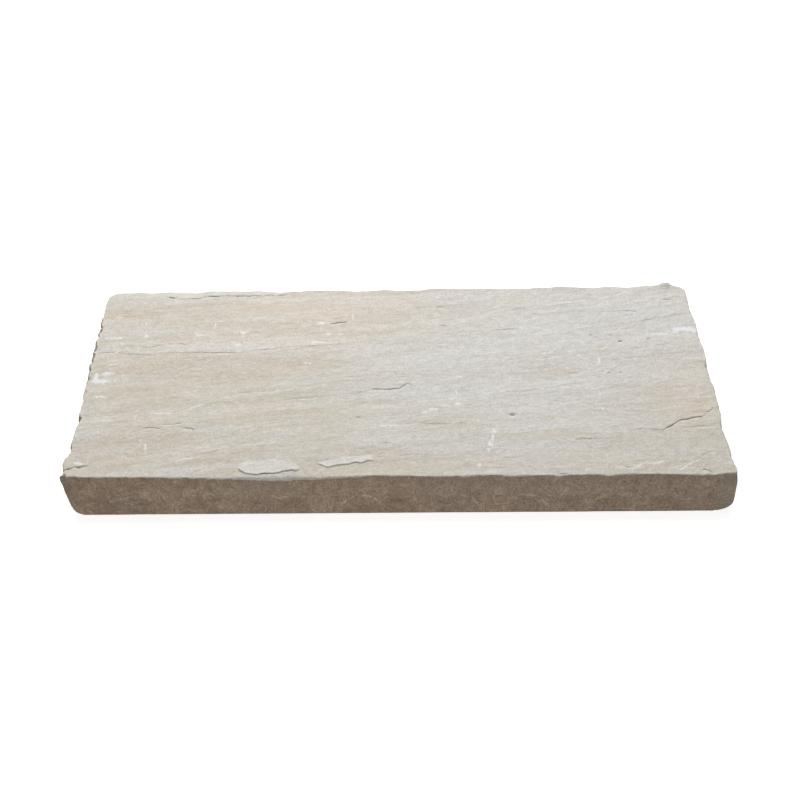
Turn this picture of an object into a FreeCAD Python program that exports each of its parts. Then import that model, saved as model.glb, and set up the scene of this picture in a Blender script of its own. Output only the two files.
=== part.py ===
# A wall coping stone: one slab of riven sandstone, laid flat on top of a wall.
# Its bed and its two long sides are sawn. Its top is the natural face where the stone split along its
# bedding. Its two ends were pitched by hand, so chips scoop them and they run in towards the bed.
# The origin is the middle of the bed, +X runs along the length and +Z points up. Lengths are millimetres.
import FreeCAD, Part
import math
import os
import Sketcher

Vector = FreeCAD.Vector

# Driving dimensions: alias, value, what it is
DIMENSIONS = [
    ("length", 600, "over the two pitched ends, at the crest of the riven face"),
    ("width", 300, "over the two sawn long sides"),
    ("thickness", 43.5, "sawn bed to the middle of the riven face"),
    ("riven_rise", 1.3, "height of the broad waves of the riven face"),
    ("riven_wave", 118, "crest to crest of those waves, across the stone"),
    ("bedding_drift", 4, "degrees that the bedding turns from the long sides"),
    ("lamina", 1.2, "thickness of one split layer left on the riven face"),
    ("back_left_radius", 16, "rounded corner in plan"),
    ("back_right_radius", 9, "rounded corner in plan"),
    ("front_radius", 2.5, "rounded front corners in plan"),
    ("left_lean", 7, "how far the left end runs in towards its foot"),
    ("left_foot_radius", 9, "rounding of the left end into the bed"),
    ("right_lean", 0.5, "how far the right end runs in towards its foot"),
    ("right_foot_radius", 16, "rounding of the right end into the bed"),
    ("sawn_arris", 0.8, "rounding of the bottom edges"),
    ("drip_width", 10, "width of a drip groove under the overhang"),
    ("drip_depth", 6, "depth of a drip groove"),
    ("drip_inset", 25, "long side to the near wall of its drip groove"),
    ("chip_width", 46, "width of a middling chip on a pitched end"),
    ("chip_depth", 2.6, "depth of a middling chip"),
    ("spall_width", 80, "width of the largest spall on a long top edge"),
    ("spall_depth", 2.4, "depth of that spall"),
    ("spall_angle", 45, "degrees above the level that a spall was struck from"),
]

# Chips struck off each pitched end: place along the end as a share of the width from the front,
# height as a share of the thickness, and size against a middling chip
LEFT_CHIPS = [
    (0.27, 0.95, 1.25), (0.60, 0.30, 0.60), (0.86, 0.90, 0.60), (0.12, 0.30, 0.75), (0.45, 0.10, 0.85),
]
RIGHT_CHIPS = [
    (0.22, 0.90, 1.20), (0.47, 0.95, 0.55), (0.72, 0.45, 1.00), (0.93, 0.85, 0.45), (0.40, 0.20, 0.80),
]

# Spalls off the long top edges: the side (-1 front, 1 back), place as a share of the length from the
# left end, and size against the largest
SPALLS = [(-1, 0.37, 1.0), (-1, 0.60, 0.55), (-1, 0.84, 0.45), (1, 0.31, 0.50), (1, 0.68, 0.65)]

# Waves of the riven face: share of its rise, main crests across, turns along the length, and phase in turns
RIVEN_WAVES = [(0.45, 1.0, 0.3, 0.0), (0.20, 2.1, -0.6, 0.16), (0.35, 0.3, 1.1, 0.25)]

# Layers that stayed on the riven face when the rest of their bed split away. Each has the corner that
# its outline is measured from, as signs of X and Y, and the outline's points from that corner, inwards
# positive.
LAMINAE = {
    "front_flake": ((-1, -1), [
        (156, 14), (160, 7), (175, 4.5), (190, 7), (211, 14.5), (203, 24), (178, 25.5), (158, 23),
    ]),
    "front_sliver": ((-1, -1), [
        (226, 18), (236, 13), (252, 18), (277, 23), (276, 30), (255, 27), (238, 22),
    ]),
    "left_strip": ((-1, -1), [
        (-12, 192), (42, 190), (96, 190), (154, 194), (184, 201), (248, 203),
        (215, 210), (202, 219), (132, 218), (107, 222), (89, 208), (54, 217), (-12, 216),
    ]),
    "back_ledge": ((-1, 1), [
        (46, -12), (52, 6), (70, 12), (97, 11), (121, 7), (152, 8), (189, 4), (206, -12),
    ]),
    "right_flake": ((1, -1), [
        (86, 64), (69, 66), (58, 63), (47, 72), (36, 79), (17, 84), (-12, 88),
        (-12, 104), (20, 96), (55, 84),
    ]),
}

# Points along and across the riven surface
RIVEN_COLUMNS = 21
RIVEN_ROWS = 25

# How far cutting shapes reach past the faces that they cut, and the gap under which two faces touch
REACH = 12
TOUCHING = 1e-6

MM3_PER_LITRE = 1e6

doc = FreeCAD.newDocument("coping_stone")


def make_sheet():
    """Writes the driving dimensions to a spreadsheet, with one alias for each."""
    sheet = doc.addObject("Spreadsheet::Sheet", "Dimensions")
    for row, (alias, value, meaning) in enumerate(DIMENSIONS, start=1):
        sheet.set(f"A{row}", alias)
        sheet.set(f"B{row}", str(value))
        sheet.set(f"C{row}", meaning)
        sheet.setAlias(f"B{row}", alias)
    doc.recompute()
    return sheet


sheet = make_sheet()


def size(alias):
    """The value of a driving dimension."""
    return float(getattr(sheet, alias))


def sketch_on(body, role, name):
    """An empty sketch on one of the body's own origin planes."""
    sketch = body.newObject("Sketcher::SketchObject", name)
    origin_plane = next(feature for feature in body.Origin.OriginFeatures if feature.Role == role)
    sketch.AttachmentSupport = (origin_plane, [""])
    sketch.MapMode = "FlatFace"
    return sketch


def constrain(sketch, kind, *where, name=None, expression=None):
    """Adds a constraint and, where it is a dimension, names it and ties it to the sheet."""
    index = sketch.addConstraint(Sketcher.Constraint(kind, *where))
    if name:
        sketch.renameConstraint(index, name)
        sketch.setExpression(f"Constraints.{name}", expression)


def rectangle(sketch, low, high):
    """Four lines joined at their corners and kept level and upright: lower, right, upper, left."""
    corners = [Vector(*low), Vector(high[0], low[1]), Vector(*high), Vector(low[0], high[1])]
    for side in range(4):
        sketch.addGeometry(Part.LineSegment(corners[side], corners[(side + 1) % 4]))
    for side in range(4):
        constrain(sketch, "Coincident", side, 2, (side + 1) % 4, 1)
        constrain(sketch, "Vertical" if side % 2 else "Horizontal", side)


def pad_slab(body):
    """The sawn slab, padded from its section and left thick, so that the riven face cuts its top."""
    half = size("width") / 2
    top = size("thickness") + REACH
    sketch = sketch_on(body, "YZ_Plane", "section")
    rectangle(sketch, (-half, 0), (half, top))
    constrain(sketch, "PointOnObject", 0, 1, -1)
    constrain(sketch, "DistanceX", 0, 1, -1, 1, half, name="half_width", expression="Dimensions.width / 2")
    constrain(sketch, "DistanceX", 0, 1, 0, 2, 2 * half, name="width", expression="Dimensions.width")
    height = f"Dimensions.thickness + {REACH}"
    constrain(sketch, "DistanceY", 1, 1, 1, 2, top, name="height", expression=height)
    pad = body.newObject("PartDesign::Pad", "slab")
    pad.Profile = sketch
    pad.SideType = "Symmetric"
    pad.setExpression("Length", "Dimensions.length")
    doc.recompute()
    return pad


def round_edges(body, base, name, alias, wanted):
    """Rounds the edges of the base feature that the test picks, by a size of the sheet."""
    names = [f"Edge{index}" for index, edge in enumerate(base.Shape.Edges, start=1) if wanted(edge)]
    fillet = body.newObject("PartDesign::Fillet", name)
    fillet.Base = (base, names)
    fillet.setExpression("Radius", f"Dimensions.{alias}")
    doc.recompute()
    return fillet


def is_corner(end, side):
    """A test for the upright corner edge at that end (-1 left, 1 right) and side (-1 front, 1 back)."""
    def test(edge):
        box = edge.BoundBox
        return box.ZLength > size("thickness") and box.Center.x * end > 0 and box.Center.y * side > 0
    return test


def lies_on_bed(edge):
    """True for the edges around the bed."""
    return edge.BoundBox.ZMax < TOUCHING


def outer_to_inner(end, outer, inner):
    """The two points of a level dimension, in the order that makes it positive at that end."""
    return (*outer, *inner) if end < 0 else (*inner, *outer)


def cut_end(body, name, end):
    """Cuts one end's elevation: a face that leans in from the crest, and an arc from it into the bed."""
    lean, radius = size(f"{name}_lean"), size(f"{name}_foot_radius")
    crest, edge = size("thickness") + size("riven_rise") + size("lamina"), size("length") / 2
    slope = math.atan(lean / (crest - radius))
    foot = edge - lean - radius * math.cos(slope)
    half_turn = (slope + math.pi / 2) / 2
    bend = Vector(end * (edge - lean), radius * (1 - math.sin(slope)))
    middle = Vector(end * (foot + radius * math.cos(half_turn)), radius * (1 - math.sin(half_turn)))
    touch = Vector(end * foot, 0)
    below = Vector(end * foot, -REACH)
    outside = Vector(end * (edge + REACH), -REACH)
    beside = Vector(end * (edge + REACH), crest)
    arris = Vector(end * edge, crest)

    sketch = sketch_on(body, "XZ_Plane", f"{name}_elevation")
    sketch.addGeometry(Part.LineSegment(arris, bend))
    sketch.addGeometry(Part.Arc(bend, middle, touch))
    for start, stop in ((touch, below), (below, outside), (outside, beside), (beside, arris)):
        sketch.addGeometry(Part.LineSegment(start, stop))
    arc_bend, arc_touch = (1, 2) if end < 0 else (2, 1)
    constrain(sketch, "Tangent", 0, 2, 1, arc_bend)
    constrain(sketch, "Coincident", 1, arc_touch, 2, 1)
    for line in range(2, 6):
        constrain(sketch, "Coincident", line, 2, (line + 1) % 6, 1)
        constrain(sketch, "Horizontal" if line % 2 else "Vertical", line)
    constrain(sketch, "PointOnObject", 1, arc_touch, -1)
    constrain(sketch, "Vertical", 1, 3, 1, arc_touch)
    constrain(sketch, "Radius", 1, radius, name="foot", expression=f"Dimensions.{name}_foot_radius")
    crest_height = "Dimensions.thickness + Dimensions.riven_rise + Dimensions.lamina"
    constrain(sketch, "DistanceY", -1, 1, 0, 1, crest, name="crest", expression=crest_height)
    arris_to_middle = outer_to_inner(end, (0, 1), (-1, 1))
    arris_to_bend = outer_to_inner(end, (0, 1), (0, 2))
    beside_to_arris = outer_to_inner(end, (5, 1), (5, 2))
    constrain(sketch, "DistanceX", *arris_to_middle, edge, name="arris", expression="Dimensions.length / 2")
    constrain(sketch, "DistanceX", *arris_to_bend, lean, name="lean", expression=f"Dimensions.{name}_lean")
    constrain(sketch, "DistanceX", *beside_to_arris, REACH)
    constrain(sketch, "DistanceY", 2, 2, 2, 1, REACH)

    pocket = body.newObject("PartDesign::Pocket", f"{name}_end")
    pocket.Profile = sketch
    pocket.Type = "ThroughAll"
    pocket.SideType = "Symmetric"
    doc.recompute()
    return pocket


def cut_drip_grooves(body):
    """The saw-cut drip groove under the front overhang, and its mirror image under the back one."""
    near = size("width") / 2 - size("drip_inset")
    far = near - size("drip_width")
    depth = size("drip_depth")
    near_wall = "Dimensions.width / 2 - Dimensions.drip_inset"
    sketch = sketch_on(body, "YZ_Plane", "drip_section")
    rectangle(sketch, (-near, -REACH), (-far, depth))
    constrain(sketch, "DistanceX", 0, 1, -1, 1, near, name="near", expression=near_wall)
    constrain(sketch, "DistanceX", 0, 1, 0, 2, near - far, name="across", expression="Dimensions.drip_width")
    constrain(sketch, "DistanceY", -1, 1, 2, 1, depth, name="depth", expression="Dimensions.drip_depth")
    constrain(sketch, "DistanceY", 0, 1, -1, 1, REACH)
    pocket = body.newObject("PartDesign::Pocket", "drip_groove")
    pocket.Profile = sketch
    pocket.Type = "ThroughAll"
    pocket.SideType = "Symmetric"
    doc.recompute()
    mirrored = body.newObject("PartDesign::Mirrored", "drip_grooves")
    mirrored.Originals = [pocket]
    middle = next(feature for feature in body.Origin.OriginFeatures if feature.Role == "XZ_Plane")
    mirrored.MirrorPlane = (middle, [""])
    body.Tip = mirrored
    doc.recompute()


def make_blank():
    """The sawn blank: slab, rounded corners, eased bed edges, the two leaning ends and the drip grooves."""
    body = doc.addObject("PartDesign::Body", "sawn_blank")
    feature = pad_slab(body)
    feature = round_edges(body, feature, "back_left_corner", "back_left_radius", is_corner(-1, 1))
    feature = round_edges(body, feature, "back_right_corner", "back_right_radius", is_corner(1, 1))
    feature = round_edges(body, feature, "front_left_corner", "front_radius", is_corner(-1, -1))
    feature = round_edges(body, feature, "front_right_corner", "front_radius", is_corner(1, -1))
    round_edges(body, feature, "bed_edges", "sawn_arris", lies_on_bed)
    cut_end(body, "left", -1)
    cut_end(body, "right", 1)
    cut_drip_grooves(body)
    return body


def scoop_radius(kind):
    """The expression for the radius of a ball that leaves a scoop of that kind's width and depth."""
    width, depth = f"Dimensions.{kind}_width", f"Dimensions.{kind}_depth"
    return f"({width} ^ 2 / 4 + {depth} ^ 2) / (2 * {depth})"


def make_chips(name, end, chips):
    """Balls that strike the rounded chips off one end, each as deep in its leaning face as its size says."""
    balls = []
    seam_outwards = FreeCAD.Rotation(Vector(0, 0, 1), 0 if end > 0 else 180)
    for number, (place, height, scale) in enumerate(chips, start=1):
        ball = doc.addObject("Part::Sphere", f"{name}_chip_{number}")
        ball.Placement = FreeCAD.Placement(Vector(), seam_outwards)
        radius = f"{scale} * {scoop_radius('chip')}"
        face = f"(Dimensions.length / 2 - {1 - height:.2f} * Dimensions.{name}_lean)"
        depth = f"{scale} * Dimensions.chip_depth"
        ball.setExpression("Radius", radius)
        ball.setExpression("Placement.Base.x", f"{end} * ({face} + {radius} - {depth})")
        ball.setExpression("Placement.Base.y", f"({place} - 0.5) * Dimensions.width")
        ball.setExpression("Placement.Base.z", f"{height} * Dimensions.thickness")
        balls.append(ball)
    return balls


def make_spalls():
    """Balls that take long shallow spalls off the long top edges, each from outside and above its edge."""
    balls = []
    for number, (side, place, scale) in enumerate(SPALLS, start=1):
        ball = doc.addObject("Part::Sphere", f"spall_{number}")
        radius = f"{scale} * {scoop_radius('spall')}"
        away = f"({radius} - {scale} * Dimensions.spall_depth)"
        angle = "Dimensions.spall_angle * 1 deg"
        ball.setExpression("Radius", radius)
        ball.setExpression("Placement.Base.x", f"({place} - 0.5) * Dimensions.length")
        ball.setExpression("Placement.Base.y", f"{side} * (Dimensions.width / 2 + {away} * cos({angle}))")
        ball.setExpression("Placement.Base.z", f"Dimensions.thickness + {away} * sin({angle})")
        balls.append(ball)
    return balls


def riven_height(x, y):
    """Height of the riven face: waves that follow the bedding across the stone and change slowly along it."""
    crests = (y - x * math.tan(math.radians(size("bedding_drift")))) / size("riven_wave")
    turns = x / size("length")
    rise = sum(share * math.sin(2 * math.pi * (across * crests + along * turns + phase))
               for share, across, along, phase in RIVEN_WAVES)
    return size("thickness") + size("riven_rise") * rise


def make_riven_mass(name):
    """All the stone under the riven face: a smooth surface through the waves, drawn down past the bed."""
    reach_x, reach_y = size("length") / 2 + REACH, size("width") / 2 + REACH
    points = []
    for column in range(RIVEN_COLUMNS):
        x = reach_x * (2 * column / (RIVEN_COLUMNS - 1) - 1)
        row = []
        for step in range(RIVEN_ROWS):
            y = reach_y * (2 * step / (RIVEN_ROWS - 1) - 1)
            row.append(Vector(x, y, riven_height(x, y)))
        points.append(row)
    surface = Part.BSplineSurface()
    surface.interpolate(points)
    mass = doc.addObject("Part::Feature", name)
    mass.Shape = surface.toShape().extrude(Vector(0, 0, -size("thickness") - REACH))
    return mass


def make_lamina(name, corner, points, raised):
    """One layer left on the riven face: its outline drawn up into the same waves, one lamina higher."""
    sketch = doc.addObject("Sketcher::SketchObject", f"{name}_outline")
    corners = [Vector(-corner[0] * x, -corner[1] * y) for x, y in points]
    for index, start in enumerate(corners):
        sketch.addGeometry(Part.LineSegment(start, corners[(index + 1) % len(corners)]))
    for index in range(len(corners)):
        constrain(sketch, "Coincident", index, 2, (index + 1) % len(corners), 1)
    sketch.setExpression("Placement.Base.x", f"{corner[0]} * Dimensions.length / 2")
    sketch.setExpression("Placement.Base.y", f"{corner[1]} * Dimensions.width / 2")
    sketch.setExpression("Placement.Base.z", "Dimensions.thickness / 2")
    prism = doc.addObject("Part::Extrusion", f"{name}_prism")
    prism.Base = sketch
    prism.DirMode = "Custom"
    prism.Dir = Vector(0, 0, 1)
    prism.setExpression("LengthFwd", "Dimensions.thickness")
    prism.Solid = True
    lamina = doc.addObject("Part::Common", name)
    lamina.Base = prism
    lamina.Tool = raised
    return lamina


def split_top(blank):
    """The blank where it lies under the riven face and the layers left on it."""
    mass = make_riven_mass("riven_mass")
    raised = make_riven_mass("raised_mass")
    raised.setExpression("Placement.Base.z", "Dimensions.lamina")
    layers = [make_lamina(name, corner, points, raised) for name, (corner, points) in LAMINAE.items()]
    riven = doc.addObject("Part::MultiFuse", "riven_face")
    riven.Shapes = [mass, *layers]
    split = doc.addObject("Part::Common", "split_stone")
    split.Base = blank
    split.Tool = riven
    return split


def strike_off(stone, balls):
    """The stone with a chip or spall struck off it by each ball in turn."""
    for ball in balls:
        cut = doc.addObject("Part::Cut", f"{ball.Name}_off")
        cut.Base = stone
        cut.Tool = ball
        stone = cut
    return stone


def make_stone():
    """The finished stone: the sawn blank with its top split, its ends chipped and its long edges spalled."""
    stone = split_top(make_blank())
    stone = strike_off(stone, make_chips("left", -1, LEFT_CHIPS))
    stone = strike_off(stone, make_chips("right", 1, RIGHT_CHIPS))
    stone = strike_off(stone, make_spalls())
    stone.Label = "coping_stone"
    doc.recompute()
    return stone


def check(stone):
    """Stops if any object failed, or if the stone isn't one valid solid."""
    failed = [thing.Name for thing in doc.Objects if {"Invalid", "Error"} & set(thing.State)]
    if failed:
        raise RuntimeError(f"these objects failed: {failed}")
    shape = stone.Shape
    if shape.isNull() or not shape.isValid() or len(shape.Solids) != 1:
        raise RuntimeError("the stone isn't one valid solid")


stone = make_stone()
check(stone)
os.makedirs("parts", exist_ok=True)
stone.Shape.exportStep(f"parts/{stone.Label}.step")
box = stone.Shape.optimalBoundingBox()
litres = stone.Shape.Volume / MM3_PER_LITRE
print(f"{stone.Label}: {box.XLength:.2f} x {box.YLength:.2f} x {box.ZLength:.2f} mm, {litres:.4f} litres")
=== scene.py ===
# %% [markdown]
# # A riven sandstone coping
# A coping caps a wall and sheds the rain. This one is a slab about 600 mm long. Its top was split along the
# bedding of the rock, its underside and long sides were sawn, and its two ends were broken to length by
# hand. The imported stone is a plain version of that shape. This lesson builds the stone that is seen, as one
# closed mesh, then gives it its finishes, a floor, soft light and a camera.

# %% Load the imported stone
import math

import bmesh
import bpy
import numpy as np
from mathutils import Matrix, Vector, noise
from mathutils.bvhtree import BVHTree


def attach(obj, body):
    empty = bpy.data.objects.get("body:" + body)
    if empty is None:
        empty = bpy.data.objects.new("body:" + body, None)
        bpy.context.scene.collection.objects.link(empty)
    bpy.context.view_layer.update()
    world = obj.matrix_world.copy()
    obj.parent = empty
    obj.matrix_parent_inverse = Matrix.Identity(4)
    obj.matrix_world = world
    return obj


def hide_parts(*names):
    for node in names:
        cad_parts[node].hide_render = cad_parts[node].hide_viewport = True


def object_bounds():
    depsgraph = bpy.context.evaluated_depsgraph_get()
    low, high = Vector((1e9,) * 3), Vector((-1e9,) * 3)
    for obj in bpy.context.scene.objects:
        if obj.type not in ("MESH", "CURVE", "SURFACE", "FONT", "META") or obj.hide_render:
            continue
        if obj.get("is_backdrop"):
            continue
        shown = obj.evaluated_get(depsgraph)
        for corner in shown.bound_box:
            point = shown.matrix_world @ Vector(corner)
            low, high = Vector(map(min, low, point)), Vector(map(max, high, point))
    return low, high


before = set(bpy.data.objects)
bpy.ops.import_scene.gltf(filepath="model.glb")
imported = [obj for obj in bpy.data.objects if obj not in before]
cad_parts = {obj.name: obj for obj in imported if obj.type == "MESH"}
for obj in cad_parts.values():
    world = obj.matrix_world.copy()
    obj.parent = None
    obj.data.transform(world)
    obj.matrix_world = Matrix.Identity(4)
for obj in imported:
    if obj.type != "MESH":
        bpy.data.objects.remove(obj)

MM = 0.001
packed_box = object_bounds()
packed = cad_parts["coping_stone"]
print("packed stone, mm:", [[round(c / MM, 1) for c in corner] for corner in packed_box])

# %% [markdown]
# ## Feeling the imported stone
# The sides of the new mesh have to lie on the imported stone's. A ray sent at it sideways finds its surface at
# any height, which is simpler than repeating how each end was cut. A BVH tree makes such rays quick. All the
# working below is in millimetres, as a mason would measure.

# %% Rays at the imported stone
tree = BVHTree.FromPolygons(
    [packed.matrix_world @ v.co for v in packed.data.vertices],
    [p.vertices[:] for p in packed.data.polygons],
)
FAR = 60


def packed_surface(place, outwards, height):
    """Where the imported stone's side is, looking inwards past a place at a height."""
    start = Vector((*(place + outwards * FAR), height)) * MM
    inwards = Vector((-outwards[0], -outwards[1], 0))
    hit = tree.ray_cast(start, inwards)[0]
    return np.array(hit[:2]) / MM


# %% [markdown]
# ## Noise that follows the bedding
# Rock splits in sheets, and the marks on a split face run long one way and short the other. On this stone
# they fan out: they climb steeply at the front left and the back right, and hardly at all in the other two
# corners. A place on the stone is therefore turned into a place along the bedding and one across it, and
# Blender's fractal noise is stretched along the first. Every seed is another slice of the same noise, so the
# stone comes out the same each time.

# %% Noise helpers
CLIMB = 0.12
FAN = 1e-6


def bedding(x, y):
    """The place along the bedding and the place across it."""
    return x, y - CLIMB * x - FAN * x * x * y


def bedding_noise(x, y, along, across, seed, octaves=4):
    """Noise from about -1 to 1 with waves so long along the bedding and so long across it."""
    a, b = bedding(x, y)
    return np.array([noise.fractal((p / along, q / across, seed), 1.0, 2.0, octaves) for p, q in zip(a, b)])


def line_noise(x, span, seed, octaves=3):
    """Noise along a line, for an edge that wanders."""
    return np.array([noise.fractal((p / span, 0.5, seed), 1.0, 2.0, octaves) for p in x])


def ease(share):
    """0 below 0, 1 above 1, and a smooth step between."""
    share = np.clip(share, 0, 1)
    return share * share * (3 - 2 * share)


def bell(distance, width):
    """1 in the middle, falling softly to both sides."""
    return np.exp(-(distance / width) ** 2)


# %% [markdown]
# ## The outline of the top
# The long sides were sawn, so they are straight, with small nicks. The ends wander: each pair below is a
# place across the width and how far the end reaches from the middle there. The plan corners are rounded,
# most at the back left.

# %% Where the top edges run
LENGTH = 600
WIDTH = 300
LEFT_END = [
    (-150, 301.2), (-147, 299.4), (-143, 298.8), (-138, 298.8), (-130, 301.3), (-121, 300), (-113, 297),
    (-96, 298), (-82, 297.8), (-73, 297), (-64, 296.2), (-55, 298.6), (-46, 298.9), (-37, 297),
    (-27, 299.5), (-14, 299.5), (16, 300), (46, 300.2), (54, 300), (62, 301.5), (71, 299.9), (98, 300.8),
    (130, 300.6), (138, 299.5), (150, 299),
]
RIGHT_END = [
    (-150, 300.4), (-146, 300.6), (-141, 301), (-136, 300.2), (-128, 299.3), (-119, 300.2), (-102, 299.3),
    (-95, 299.6), (-84, 297), (-66, 300.2), (-52, 301.5), (-44, 301.4), (-29, 301.3), (-17, 301.6),
    (-10, 300.3), (9, 300.3), (29, 302), (60, 300.6), (75, 301.3), (92, 301.2), (112, 299), (124, 300),
    (150, 300),
]
LEFT_NOTCHES = [(107, 1.6), (87, 1.3), (68, 1.0), (38, 1.8), (25, 1.5), (12, 1.2), (-62, 1.2)]
RIGHT_NOTCHES = [(14, 2.0), (62, 1.0), (-52, 1.2), (-95, 1.0), (-125, 1.2)]
NOTCH_SPAN = 2.4
TEETH = {-1: 0.9, 1: 0.2}
CORNERS = {(-1, -1): 1.2, (1, -1): 4, (-1, 1): 11, (1, 1): 9}


def end_reach(side, y):
    """How far the stone reaches towards one end, corners left square."""
    places, reaches = zip(*(LEFT_END if side < 0 else RIGHT_END))
    reach = np.interp(y, places, reaches) + TEETH[side] * line_noise(y, 9, 3.1 + side, 4)
    for place, depth in LEFT_NOTCHES if side < 0 else RIGHT_NOTCHES:
        reach -= depth * bell(y - place, NOTCH_SPAN)
    return reach


def corner_inset(side, y):
    """How much the rounding of the plan corners takes off an end."""
    inset = np.zeros_like(y)
    for (end, face), radius in CORNERS.items():
        if end == side:
            into = np.clip(face * y - (WIDTH / 2 - radius), 0, radius)
            inset += radius - np.sqrt(radius ** 2 - into ** 2)
    return inset


def end_line(side, y):
    return side * (end_reach(side, y) - corner_inset(side, y))


def side_line(face, x):
    return face * (WIDTH / 2 + 0.3 * line_noise(x, 40, 7.3 + face) + 0.3 * line_noise(x, 8, 9.3 + face))


def in_from_side(face, x, y):
    """How far a place is in from a long side."""
    return np.clip(face * (side_line(face, x) - y), 0, None)


def in_from_end(side, x, y):
    """How far a place is in from an end."""
    return np.clip(side * (end_line(side, y) - x), 0, None)


# %% [markdown]
# ## A sheet for the top
# One grid makes the whole top. Its lines stand closer together near the edges, where the arris curves over,
# and its rim is drawn onto the outline.

# %% The sheet
COLUMNS = 212
ROWS = 162


def spaced(count, half, crowding, band):
    """Places from -half to half that come closer together near both ends."""
    fine = np.linspace(-half, half, 6001)
    density = 1 + crowding * np.exp(-(half - np.abs(fine)) / band)
    total = np.concatenate([[0], np.cumsum((density[1:] + density[:-1]) / 2)])
    return np.interp(np.linspace(0, total[-1], count + 1), total, fine)


def places(verts):
    return np.array([v.co for v in verts])


def place_at(verts, x, y, z):
    for v, a, b, c in zip(verts, x, y, z):
        v.co = (a, b, c)


bm = bmesh.new()
MASKS = ("crevice", "pale", "calcite", "peach", "tan", "cool", "rust", "skin", "pitched")
for name in MASKS:
    bm.verts.layers.float.new(name)
bm.verts.layers.float_vector.new("bedding")
bm.verts.layers.int.new("post")
post_layer = bm.verts.layers.int["post"]
layers = {name: bm.verts.layers.float[name] for name in MASKS}
bmesh.ops.create_grid(bm, x_segments=COLUMNS, y_segments=ROWS, size=1)
sheet = list(bm.verts)
grid = places(sheet)
column = np.rint((grid[:, 0] + 1) / 2 * COLUMNS).astype(int)
row = np.rint((grid[:, 1] + 1) / 2 * ROWS).astype(int)
share_along = spaced(COLUMNS, 0.5, 5, 0.012)[column] + 0.5
share_across = spaced(ROWS, 0.5, 4, 0.018)[row] + 0.5
plain_y = (share_across - 0.5) * WIDTH * 0.9995
left = end_line(-1, plain_y)
right = end_line(1, plain_y)
x = left + share_along * (right - left)
front = side_line(-1, x)
back = side_line(1, x)
y = front + share_across * (back - front)
place_at(sheet, x, y, np.zeros_like(x))
print("sheet:", len(sheet), "vertices")

# %% [markdown]
# ## What the splitting left
# These are the marks that tell this stone from another, in millimetres from its middle. A plate is a bit of
# the next layer that stayed on: how high it is, how much it thins towards the back, how much painted shade lies
# along its edge, its front line and its back line. A ledge is a small step along a line: its height, how soon
# it sinks back, which side of the line is high, and the line. A crack is a thin groove: its depth, width and
# line. All lines run from left to right. Pits and spots of white calcite have a middle and a size.

# %% Plates
PLATES = {
    "front_flake": (
        0.95, 0.75, 0.95,
        [(-145, -138), (-137, -144.5), (-128, -146.5), (-122, -145), (-109, -144), (-104, -142),
         (-96, -140), (-92, -141), (-88, -139)],
        [(-145, -137), (-142, -131), (-136, -126), (-130, -127.5), (-122, -129), (-117, -126.5),
         (-111, -125.5), (-108, -128), (-101, -128), (-97.5, -126.5), (-92, -133), (-88, -138.5)],
    ),
    "front_sliver": (
        0.85, 0.7, 0.95,
        [(-74, -130.5), (-70, -133), (-63.5, -137), (-59, -135), (-53, -133.5), (-46, -132.5), (-39, -130),
         (-33.5, -130.5), (-28, -128), (-22, -128)],
        [(-74, -130), (-68, -128), (-57, -126), (-53, -123), (-42, -121.5), (-35, -120), (-23, -121),
         (-22, -127.5)],
    ),
    "left_strip": (
        0.45, 0.3, 0.1,
        [(-298, 41), (-278, 41), (-268, 38), (-242, 35.5), (-224, 40), (-201, 39), (-180, 39), (-157, 37.5),
         (-137, 41), (-111, 46.5), (-102, 47), (-80, 48), (-57, 52), (-45, 53)],
        [(-298, 58), (-230, 57), (-211, 62), (-199, 72), (-186, 74), (-170, 67), (-140, 63), (-107, 67),
         (-89, 65), (-84, 57), (-45, 54)],
    ),
    "back_ledge": (
        0.55, 0.1, 0.05,
        [(-246, 143), (-235, 138), (-227, 136), (-216, 136.5), (-202, 137.5), (-196, 139), (-182, 141),
         (-167, 140), (-144, 139.5), (-135, 141), (-116, 143), (-96, 152)],
        [(-246, 175), (-96, 175)],
    ),
    "right_flake": (
        0.6, 0.6, 0.1,
        [(212, -88), (223, -87), (243, -88), (252, -81), (262, -73), (272, -70), (282, -68), (286, -64),
         (291, -59), (298, -52), (312, -47)],
        [(212, -87), (245, -66), (280, -54), (312, -46)],
    ),
    "corner_lump": (
        1.1, 0.4, 0.25,
        [(-306, -141), (-298, -140), (-292, -138), (-288.5, -135.5), (-285, -136.3), (-281.5, -134.6),
         (-275, -132.5)],
        [(-306, -120), (-295.5, -121.5), (-289.5, -124.5), (-281, -128.5), (-275, -131.5)],
    ),
}

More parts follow.
